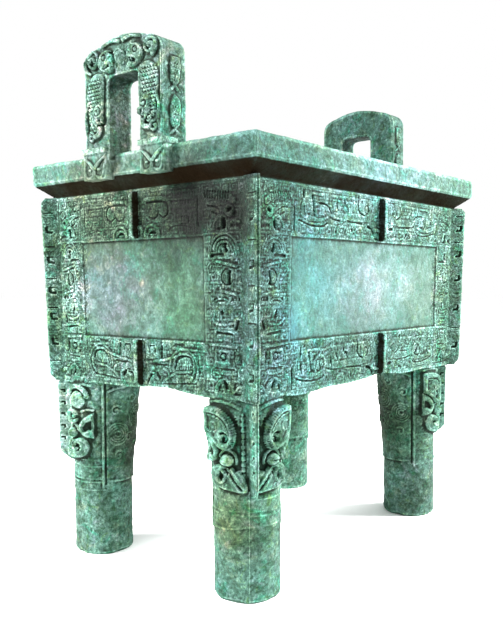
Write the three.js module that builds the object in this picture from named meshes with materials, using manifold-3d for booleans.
// Bronze ding: a rectangular four-legged cauldron with two upright ears, cast in one piece.
// Millimetres, +Z up. The origin is on the ground under the middle of the vessel; the long
// side runs along X. The inside is open and empty.
import * as THREE from 'three';
import { mergeVertices } from 'three/addons/utils/BufferGeometryUtils.js';
import { ConvexGeometry } from 'three/addons/geometries/ConvexGeometry.js';
import Module from 'manifold-3d';

const wasm = await Module();
wasm.setup();

// ---- driving dimensions -------------------------------------------------------------------

const RIM = { halfLength: 550, halfWidth: 395, top: 1060, face: 55, chamfer: 5 };
const BODY_FOOT = { z: 475, x: 500, y: 336 };
const BODY_HEAD = { z: 972, x: 512, y: 349 };
const WALL = 28;
const FLOOR = 40;

// Ornament bands, as heights above the foot of the wall, and the blank panels between them.
const TOP_BAND = { low: 376, high: 488 };
const FOOT_BAND = { low: 12, high: 122 };
const PANEL = { low: 124, high: 372, line: 6 };
const RELIEF = 5;
const ROOT = 9;

const FLANGE = { thickness: 20, proud: 22 };
const CORNER_FIN = { proud: 37, front: 16, base: 42, root: 22, slots: 4, slotHeight: 8, slotDepth: 6 };

const LEG = { x: 421, y: 257, radius: 79, topRadius: 86, top: 487, foot: 7, sides: 14 };
const BOWSTRINGS = { heights: [187, 214, 243], proud: 4, halfHeight: 6 };
const LEG_FIN = { reach: 122, front: 14, base: 28, tip: 275, heel: 245 };
const HORN_PROUD = 27;

const EAR = {
  outer: 571, thickness: 74, halfWidth: 138, top: 1330, shoulder: 1268, haunch: 1314,
  openingHalf: 57, openingTop: 1240, openingCorner: 24, shift: -5,
};
const PLAQUE = { inner: 62, outer: 144, low: 985, ledgeLow: 1060, ledgeHigh: 1073, proud: 573, ledgeProud: 578 };

// Each wall face: its outward direction, the run of its panel either side of the middle, and
// how far the middle flange stands from the middle of the face. The two hidden faces are plainer.
const FACES = [
  { out: [0, -1], panel: [-360, 394], middle: 45, rich: true },
  { out: [-1, 0], panel: [-234, 203], middle: -18, rich: true },
  { out: [0, 1], panel: [-377, 377], middle: 0, rich: false },
  { out: [1, 0], panel: [-218, 218], middle: 0, rich: false },
];

// ---- solids -------------------------------------------------------------------------------

function toSolid(geometry) {
  const bare = new THREE.BufferGeometry();
  bare.setAttribute('position', geometry.getAttribute('position').clone());
  bare.setIndex(geometry.getIndex());
  const welded = mergeVertices(bare, 1e-3);
  return new wasm.Manifold(new wasm.Mesh({
    numProp: 3,
    vertProperties: new Float32Array(welded.getAttribute('position').array),
    triVerts: new Uint32Array(welded.getIndex().array),
  }));
}

function toGeometry(solid) {
  const mesh = solid.getMesh();
  const geometry = new THREE.BufferGeometry();
  geometry.setAttribute('position', new THREE.BufferAttribute(new Float32Array(mesh.vertProperties), 3));
  geometry.setIndex(new THREE.BufferAttribute(new Uint32Array(mesh.triVerts), 1));
  geometry.computeVertexNormals();
  return geometry;
}

function join(solids) {
  return solids.reduce((whole, next) => whole.add(next));
}

function hull(points) {
  return toSolid(new ConvexGeometry(points.map(([x, y, z]) => new THREE.Vector3(x, y, z))));
}

function box(low, high) {
  const geometry = new THREE.BoxGeometry(high[0] - low[0], high[1] - low[1], high[2] - low[2]);
  geometry.translate((high[0] + low[0]) / 2, (high[1] + low[1]) / 2, (high[2] + low[2]) / 2);
  return toSolid(geometry);
}

// A block between two level rectangles centred on the axis of the vessel.
function taperedBlock(low, high) {
  const corners = ({ x, y, z }) => [[x, y, z], [-x, y, z], [-x, -y, z], [x, -y, z]];
  return hull([...corners(low), ...corners(high)]);
}

// ---- flat outlines ------------------------------------------------------------------------

function outline(points) {
  return new THREE.Shape(points.map(([u, v]) => new THREE.Vector2(u, v)));
}

function bar(u0, v0, u1, v1) {
  return outline([[u0, v0], [u1, v0], [u1, v1], [u0, v1]]);
}

function arc(u, v, radius, from, to, steps) {
  const points = [];
  for (let i = 0; i <= steps; i += 1) {
    const angle = THREE.MathUtils.degToRad(from + (to - from) * i / steps);
    points.push([u + radius * Math.cos(angle), v + radius * Math.sin(angle)]);
  }
  return points;
}

// A band of even width that follows a line of points, narrowing to its last point.
function ribbon(points, width, endWidth = width) {
  const left = [];
  const right = [];
  points.forEach(([u, v], i) => {
    const before = points[Math.max(i - 1, 0)];
    const after = points[Math.min(i + 1, points.length - 1)];
    const along = new THREE.Vector2(after[0] - before[0], after[1] - before[1]).normalize();
    const half = THREE.MathUtils.lerp(width, endWidth, i / (points.length - 1)) / 2;
    left.push([u - along.y * half, v + along.x * half]);
    right.unshift([u + along.y * half, v - along.x * half]);
  });
  return outline([...left, ...right]);
}

function mirrored(shapes, about = 0) {
  return shapes.map((part) => ({
    ...part,
    shape: outline(part.shape.getPoints().map(({ x, y }) => [2 * about - x, y])),
  }));
}

// ---- wall faces ---------------------------------------------------------------------------

// A frame on a wall: u runs along the foot of the wall, v up its slope, n straight out of it.
function wallFrame([outX, outY]) {
  const out = new THREE.Vector3(outX, outY, 0);
  const across = outX ? 'x' : 'y';
  const foot = out.clone().multiplyScalar(BODY_FOOT[across]).setZ(BODY_FOOT.z);
  const head = out.clone().multiplyScalar(BODY_HEAD[across]).setZ(BODY_HEAD.z);
  const u = new THREE.Vector3(-outY, outX, 0);
  const v = head.clone().sub(foot).normalize();
  return new THREE.Matrix4().makeBasis(u, v, u.clone().cross(v)).setPosition(foot);
}

function raise(frame, { shape, height = RELIEF }) {
  const geometry = new THREE.ExtrudeGeometry(shape, { depth: height + ROOT, bevelEnabled: false });
  geometry.translate(0, 0, -ROOT);
  return toSolid(geometry.applyMatrix4(frame));
}

// Half of a band: a one-legged dragon with its snout at the middle flange (u = 0) and its
// tail at the far end (u = length). Heights run from 0 to about 112.
function dragonHalf(length, rich) {
  const tail = length - 118;
  const tailEnd = length - 12;
  const bodyAndHead = [
    [12, 46], [12, 62], [28, 66], [16, 98], [74, 98], [80, 72], [tail, 72], [tail, 48], [60, 40],
  ];
  const tailHook = [
    [tail + 18, 20], [tail + 18, 100], [tailEnd - 22, 100], [tailEnd - 22, 84], [tail + 34, 84],
    [tail + 34, 36], [tailEnd - 14, 36], [tailEnd, 68], [tailEnd, 20],
  ];
  const parts = [
    { shape: outline(bodyAndHead) },
    { shape: outline(tailHook) },
    { shape: outline(arc(56, 82, 14, 0, 270, 3)), height: RELIEF + 5 },
  ];
  if (rich) {
    const claw = tail - 60;
    parts.push({ shape: outline([[claw - 12, 52], [claw - 10, 14], [claw + 26, 14], [claw + 6, 52]]) });
  }
  return parts;
}

// The upright band beside a corner, u measured in from the corner: an ox head over two masks.
function uprightBand(width, rich) {
  const middle = width * 0.56;
  const parts = [
    { shape: bar(middle - 28, 446, width - 14, 464), height: RELIEF + 3 },
    { shape: outline(arc(middle - 22, 422, 14, 0, 288, 4)), height: RELIEF + 7 },
    { shape: ribbon(arc(middle + 2, 330, 40, 0, 180, 4), 20, 12), height: RELIEF + 4 },
    { shape: outline(arc(middle + 6, 82, 25, 0, 288, 4)), height: RELIEF + 6 },
    { shape: ribbon(arc(middle + 8, 20, 24, 0, 180, 3), 13), height: RELIEF + 4 },
  ];
  if (rich) {
    parts.push({ shape: ribbon(arc(middle, 388, 22, 0, 180, 3), 14), height: RELIEF + 2 });
    parts.push({ shape: outline(arc(middle - 14, 316, 12, 0, 288, 4)), height: RELIEF + 7 });
    parts.push({ shape: ribbon([[middle - 24, 184], [middle + 36, 178], [middle + 38, 216]], 14) });
  }
  return parts;
}

function moved(parts, du, dv) {
  return parts.map((part) => ({
    ...part,
    shape: outline(part.shape.getPoints().map(({ x, y }) => [x + du, y + dv])),
  }));
}

function panelLine([left, right]) {
  const { low, high, line } = PANEL;
  const frame = bar(left - line, low - line, right + line, high + line);
  frame.holes.push(bar(left, low, right, high));
  return { shape: frame, height: RELIEF - 1 };
}

// The flange that splits a band: a plain fin with a notched foot and a hook on either side.
function middleFlange(frame, u, band, rich) {
  const half = FLANGE.thickness / 2;
  const parts = [{ shape: bar(u - half, band.low, u + half, band.high), height: FLANGE.proud }];
  if (rich) {
    const hook = { shape: ribbon(arc(u + 34, band.low + 10, 15, -10, 170, 3), 10), height: RELIEF + 3 };
    parts.push(hook, ...mirrored([hook], u));
  }
  return parts.map((part) => raise(frame, part));
}

function wallOrnament({ out, panel, middle, rich }) {
  const frame = wallFrame(out);
  const halfFace = (out[0] ? BODY_FOOT.y : BODY_FOOT.x) - 4;
  const solids = [raise(frame, panelLine(panel))];
  for (const band of [TOP_BAND, FOOT_BAND]) {
    const right = moved(dragonHalf(panel[1] - middle - 12, rich), middle + 12, band.low);
    const left = moved(mirrored(dragonHalf(middle - 12 - panel[0], rich)), middle - 12, band.low);
    solids.push(...[...right, ...left].map((part) => raise(frame, part)));
    solids.push(...middleFlange(frame, middle, band, rich));
  }
  const leftBand = moved(uprightBand(halfFace + panel[0] - PANEL.line, rich), -halfFace, 0);
  const rightBand = moved(mirrored(uprightBand(halfFace - panel[1] - PANEL.line, rich)), halfFace, 0);
  solids.push(...[...leftBand, ...rightBand].map((part) => raise(frame, part)));
  return solids;
}

// ---- corner fins --------------------------------------------------------------------------

// A wedge-shaped fin on the diagonal of a corner, from the foot of the wall to its head.
function cornerFin(signX, signY) {
  const diagonal = new THREE.Vector2(signX, signY).normalize();
  const side = new THREE.Vector2(-diagonal.y, diagonal.x);
  const at = ({ x, y }, reach, across) => [
    signX * x + diagonal.x * reach + side.x * across,
    signY * y + diagonal.y * reach + side.y * across,
  ];
  const points = [];
  for (const level of [BODY_FOOT, BODY_HEAD]) {
    const z = level === BODY_FOOT ? BODY_FOOT.z - 2 : BODY_HEAD.z + 4;
    for (const sign of [-1, 1]) {
      points.push([...at(level, -CORNER_FIN.root, sign * CORNER_FIN.base / 2), z]);
      points.push([...at(level, CORNER_FIN.proud, sign * CORNER_FIN.front / 2), z]);
    }
  }
  return hull(points).subtract(join(finSlots(at)));
}

// Grooves across both sides of a corner fin, evenly spaced up its height.
function finSlots(at) {
  const { proud, front, slots, slotHeight, slotDepth } = CORNER_FIN;
  const height = BODY_HEAD.z - BODY_FOOT.z;
  const cutters = [];
  for (let slot = 0; slot < slots; slot += 1) {
    const share = (slot + 0.5) / slots;
    const level = {
      x: THREE.MathUtils.lerp(BODY_FOOT.x, BODY_HEAD.x, share),
      y: THREE.MathUtils.lerp(BODY_FOOT.y, BODY_HEAD.y, share),
    };
    const z = BODY_FOOT.z + height * share;
    for (const sign of [-1, 1]) {
      const bottom = front / 2 - slotDepth / 2;
      const plan = [
        at(level, proud - 5, sign * bottom), at(level, 4, sign * (bottom + 5)),
        at(level, 4, sign * 40), at(level, proud - 5, sign * 40),
      ];
      cutters.push(hull([-1, 1].flatMap((end) => plan.map((point) => [...point, z + end * slotHeight / 2]))));
    }
  }
  return cutters;
}

// ---- legs ---------------------------------------------------------------------------------

function legShaft() {
  const { radius, topRadius, top, foot, sides } = LEG;
  const radiusAt = (z) => THREE.MathUtils.lerp(radius, topRadius, Math.max(0, (z - 250) / (top - 250)));
  const profile = [[0, 0], [radius - foot, 0], [radius, foot]];
  for (const z of BOWSTRINGS.heights) {
    profile.push([radiusAt(z), z - BOWSTRINGS.halfHeight]);
    profile.push([radiusAt(z) + BOWSTRINGS.proud, z]);
    profile.push([radiusAt(z), z + BOWSTRINGS.halfHeight]);
  }
  profile.push([topRadius, top], [0, top]);
  const lathe = new THREE.LatheGeometry(profile.map(([r, z]) => new THREE.Vector2(r, z)), sides);
  return toSolid(lathe.rotateX(Math.PI / 2));
}

// A flat shape bent round the leg: its u is arc length from the outer diagonal, its v is height.
function wrapOnLeg({ shape, height }) {
  const geometry = new THREE.ExtrudeGeometry(shape, { depth: height + 2 * ROOT, bevelEnabled: false });
  const position = geometry.getAttribute('position');
  for (let i = 0; i < position.count; i += 1) {
    const angle = position.getX(i) / LEG.radius;
    const reach = LEG.radius - 2 * ROOT + position.getZ(i);
    position.setXYZ(i, reach * Math.cos(angle), reach * Math.sin(angle), position.getY(i));
  }
  return toSolid(geometry);
}

function eyeball(side) {
  const ball = new THREE.SphereGeometry(26, 6, 4);
  const angle = side * 52 / LEG.radius;
  ball.rotateX(Math.PI / 2);
  ball.translate((LEG.radius + 5) * Math.cos(angle), (LEG.radius + 5) * Math.sin(angle), 336);
  return toSolid(ball);
}

// The beast mask on a leg: on each side of the fin a great curled horn, a bulging eye, a leaf
// ear and a curled snout.
function legMask() {
  const oneSide = [
    { shape: ribbon([[112, 438], [66, 434], [42, 404], [52, 366], [76, 374]], 26, 16), height: HORN_PROUD },
    { shape: outline([[86, 328], [98, 356], [122, 362], [114, 324]]), height: 16 },
    { shape: ribbon([[84, 304], [60, 316], [38, 288], [14, 270]], 20, 14), height: 15 },
  ];
  const flat = [...oneSide, ...mirrored(oneSide)].map(wrapOnLeg);
  return [...flat, eyeball(1), eyeball(-1)];
}

function legFin() {
  const { reach, front, base, tip, heel } = LEG_FIN;
  const points = [];
  for (const sign of [-1, 1]) {
    points.push([50, sign * base / 2, LEG.top - 12], [50, sign * base / 2, heel]);
    points.push([reach, sign * front / 2, LEG.top - 12], [reach - 2, sign * front / 2, tip]);
    points.push([LEG.radius + 2, sign * front / 2, heel]);
  }
  return hull(points);
}

function leg(signX, signY) {
  const local = join([legShaft(), legFin(), ...legMask()]);
  const turn = THREE.MathUtils.radToDeg(Math.atan2(signY, signX));
  return local.rotate([0, 0, turn]).translate([signX * LEG.x, signY * LEG.y, 0]);
}

// ---- ears ---------------------------------------------------------------------------------

// The upright loop handle, drawn looking at its outer face: u across, v up from the ground.
function earOutline() {
  const { halfWidth, shoulder, haunch, top, openingHalf, openingTop, openingCorner, shift } = EAR;
  const base = RIM.top - 20;
  const shape = new THREE.Shape();
  shape.moveTo(-halfWidth, base);
  shape.lineTo(-halfWidth, shoulder);
  shape.quadraticCurveTo(-halfWidth, haunch - 8, -halfWidth + 48, haunch);
  shape.quadraticCurveTo(-38, top, 0, top);
  shape.quadraticCurveTo(38, top, halfWidth - 48, haunch);
  shape.quadraticCurveTo(halfWidth, haunch - 8, halfWidth, shoulder);
  shape.lineTo(halfWidth, base);
  shape.lineTo(openingHalf - shift, base);
  shape.lineTo(openingHalf - shift, openingTop - openingCorner);
  shape.quadraticCurveTo(openingHalf - shift, openingTop, openingHalf - shift - openingCorner, openingTop);
  shape.lineTo(-openingHalf - shift + openingCorner, openingTop);
  shape.quadraticCurveTo(-openingHalf - shift, openingTop, -openingHalf - shift, openingTop - openingCorner);
  shape.lineTo(-openingHalf - shift, base);
  return shape;
}

// One tiger on the outer face of an ear, head at the top, body down the side of the loop.
function tiger() {
  return [
    { shape: ribbon(arc(104, 1280, 19, 200, -20, 4), 12, 9), height: 5 },
    { shape: outline([[22, 1262], [34, 1280], [62, 1294], [80, 1270], [66, 1248], [40, 1246]]), height: 7 },
    { shape: ribbon([[72, 1262], [100, 1210], [98, 1128]], 36, 44), height: 5 },
    { shape: outline(arc(92, 1150, 23, 0, 288, 4)), height: 8 },
    { shape: outline([[74, 1134], [70, 1084], [100, 1084], [92, 1134]]), height: 6 },
  ];
}

// The small beast mask below each leg of the ear, overlapping the face of the rim.
function plaqueMask() {
  const middle = (PLAQUE.inner + PLAQUE.outer) / 2;
  const brow = { shape: ribbon([[middle + 4, 1026], [middle + 34, 1050]], 12, 6), height: 4 };
  return [brow, ...mirrored([brow], middle)];
}

function fish(low) {
  return { shape: outline([[-14, low], [0, low + 12], [14, low], [9, low + 66], [-9, low + 66]]), height: 4 };
}

function ear() {
  const { outer, thickness, halfWidth } = EAR;
  const loop = new THREE.ExtrudeGeometry(earOutline(), { depth: thickness, bevelEnabled: false, curveSegments: 3 });
  const outerFrame = new THREE.Matrix4().makeBasis(
    new THREE.Vector3(0, 1, 0), new THREE.Vector3(0, 0, 1), new THREE.Vector3(1, 0, 0),
  );
  const seat = outerFrame.clone().setPosition(outer - thickness, 0, 0);
  const face = outerFrame.clone().setPosition(outer, 0, 0);
  const head = new THREE.SphereGeometry(15, 8, 6);
  head.translate(outer - 4, 0, 1274);
  const solids = [toSolid(loop.applyMatrix4(seat)), toSolid(head)];
  solids.push(...[...tiger(), ...mirrored(tiger())].map((part) => raise(face, part)));
  for (const sign of [-1, 1]) {
    const ends = [sign * PLAQUE.inner, sign * PLAQUE.outer].sort((a, b) => a - b);
    const back = RIM.halfLength - 20;
    solids.push(box([back, ends[0], PLAQUE.low], [PLAQUE.proud, ends[1], PLAQUE.ledgeLow + 1]));
    solids.push(box([back, ends[0] - 3, PLAQUE.ledgeLow], [PLAQUE.ledgeProud, ends[1] + 3, PLAQUE.ledgeHigh]));
    const plaqueFace = outerFrame.clone().setPosition(PLAQUE.proud, 0, 0);
    const mask = sign > 0 ? plaqueMask() : mirrored(plaqueMask());
    solids.push(...mask.map((part) => raise(plaqueFace, part)));
    const sideFrame = new THREE.Matrix4().makeBasis(
      new THREE.Vector3(-sign, 0, 0), new THREE.Vector3(0, 0, 1), new THREE.Vector3(0, sign, 0),
    ).setPosition(outer - thickness / 2, sign * halfWidth, 0);
    solids.push(...[fish(1090), fish(1182)].map((part) => raise(sideFrame, part)));
  }
  return join(solids);
}

// ---- vessel -------------------------------------------------------------------------------

function shell() {
  const { halfLength, halfWidth, top, face, chamfer } = RIM;
  const rimFoot = { x: halfLength, y: halfWidth, z: top - face };
  const rimHead = { x: halfLength, y: halfWidth, z: top - chamfer };
  const rimTop = { x: halfLength - chamfer, y: halfWidth - chamfer, z: top };
  return join([
    taperedBlock(BODY_FOOT, BODY_HEAD),
    taperedBlock(BODY_HEAD, rimFoot),
    taperedBlock(rimFoot, rimHead),
    taperedBlock(rimHead, rimTop),
  ]);
}

function cavity() {
  const low = { x: BODY_FOOT.x - WALL, y: BODY_FOOT.y - WALL, z: BODY_FOOT.z + FLOOR };
  const high = { x: BODY_HEAD.x - WALL, y: BODY_HEAD.y - WALL, z: RIM.top + 20 };
  return taperedBlock(low, high);
}

function ding() {
  const corners = [[-1, -1], [1, -1], [1, 1], [-1, 1]];
  const solids = [shell(), ...FACES.flatMap(wallOrnament)];
  for (const [signX, signY] of corners) {
    solids.push(cornerFin(signX, signY), leg(signX, signY));
  }
  solids.push(ear(), ear().rotate([0, 0, 180]));
  return join(solids).subtract(cavity());
}

const bronze = new THREE.MeshStandardMaterial({ color: 0x6fa58c, roughness: 0.72, metalness: 0.35 });
bronze.name = 'bronze_patina';

const vessel = new THREE.Mesh(toGeometry(ding()), bronze);
vessel.name = 'ding_vessel';

const group = new THREE.Group();
group.name = 'bronze_ding_vessel';
group.add(vessel);

export default group;
